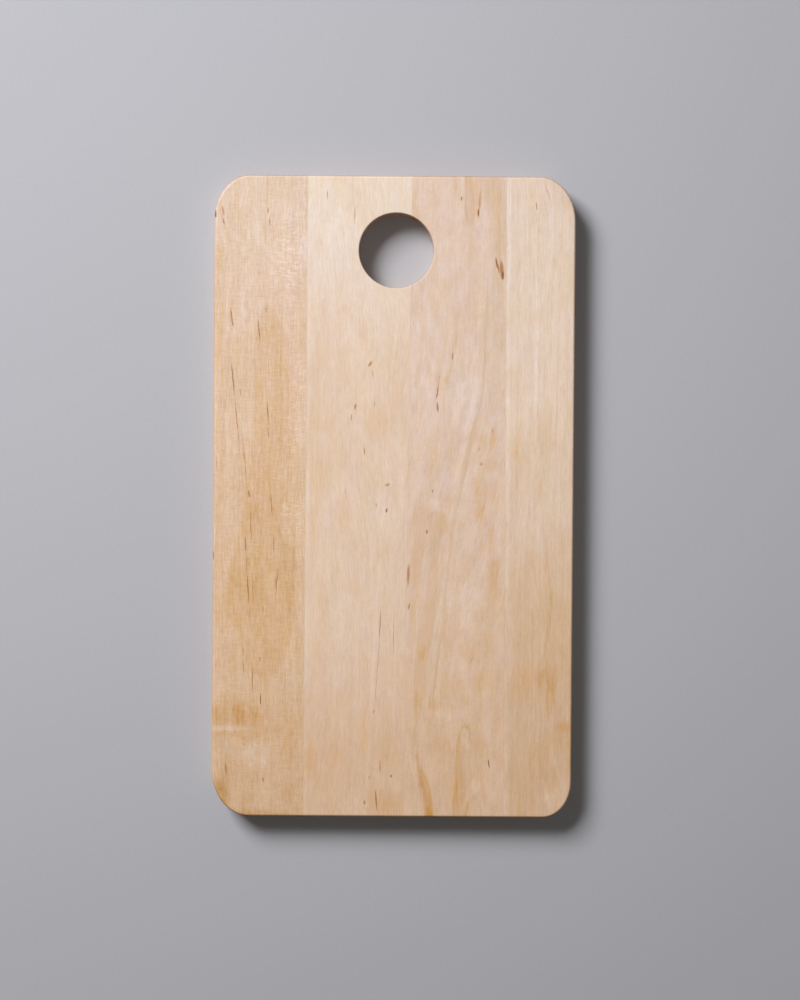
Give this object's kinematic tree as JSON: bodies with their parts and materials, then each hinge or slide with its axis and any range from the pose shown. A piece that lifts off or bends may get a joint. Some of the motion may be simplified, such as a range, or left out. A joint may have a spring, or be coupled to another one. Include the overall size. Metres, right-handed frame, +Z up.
{
  "type": "cutting board",
  "caption": "Flat rectangular edge-glued wooden cutting board with rounded corners, softened edges and a large round finger hole near one end.",
  "frame": {"origin": "centre of the underside's bounding rectangle, on the surface that the board rests on", "axes": "+Z up through the thickness, +Y along the grain to the end with the finger hole, +X across the staves"},
  "size_m": [0.225, 0.4, 0.018],
  "materials": {
    "honey_wood": "sanded, unvarnished, warm honey",
    "cream_wood": "sanded, unvarnished, pale cream",
    "rose_wood": "sanded, unvarnished, pinkish tan",
    "pale_wood": "sanded, unvarnished, pale straw",
    "cured_glue": "cured wood glue, sanded flush"
  },
  "bodies": {
    "root": {"left_edge_stave": "honey_wood", "left_centre_stave": "cream_wood", "right_centre_stave": "rose_wood", "right_edge_stave": "pale_wood", "left_glue_line": "cured_glue", "centre_glue_line": "cured_glue", "right_glue_line": "cured_glue"}
  },
  "joints": []
}
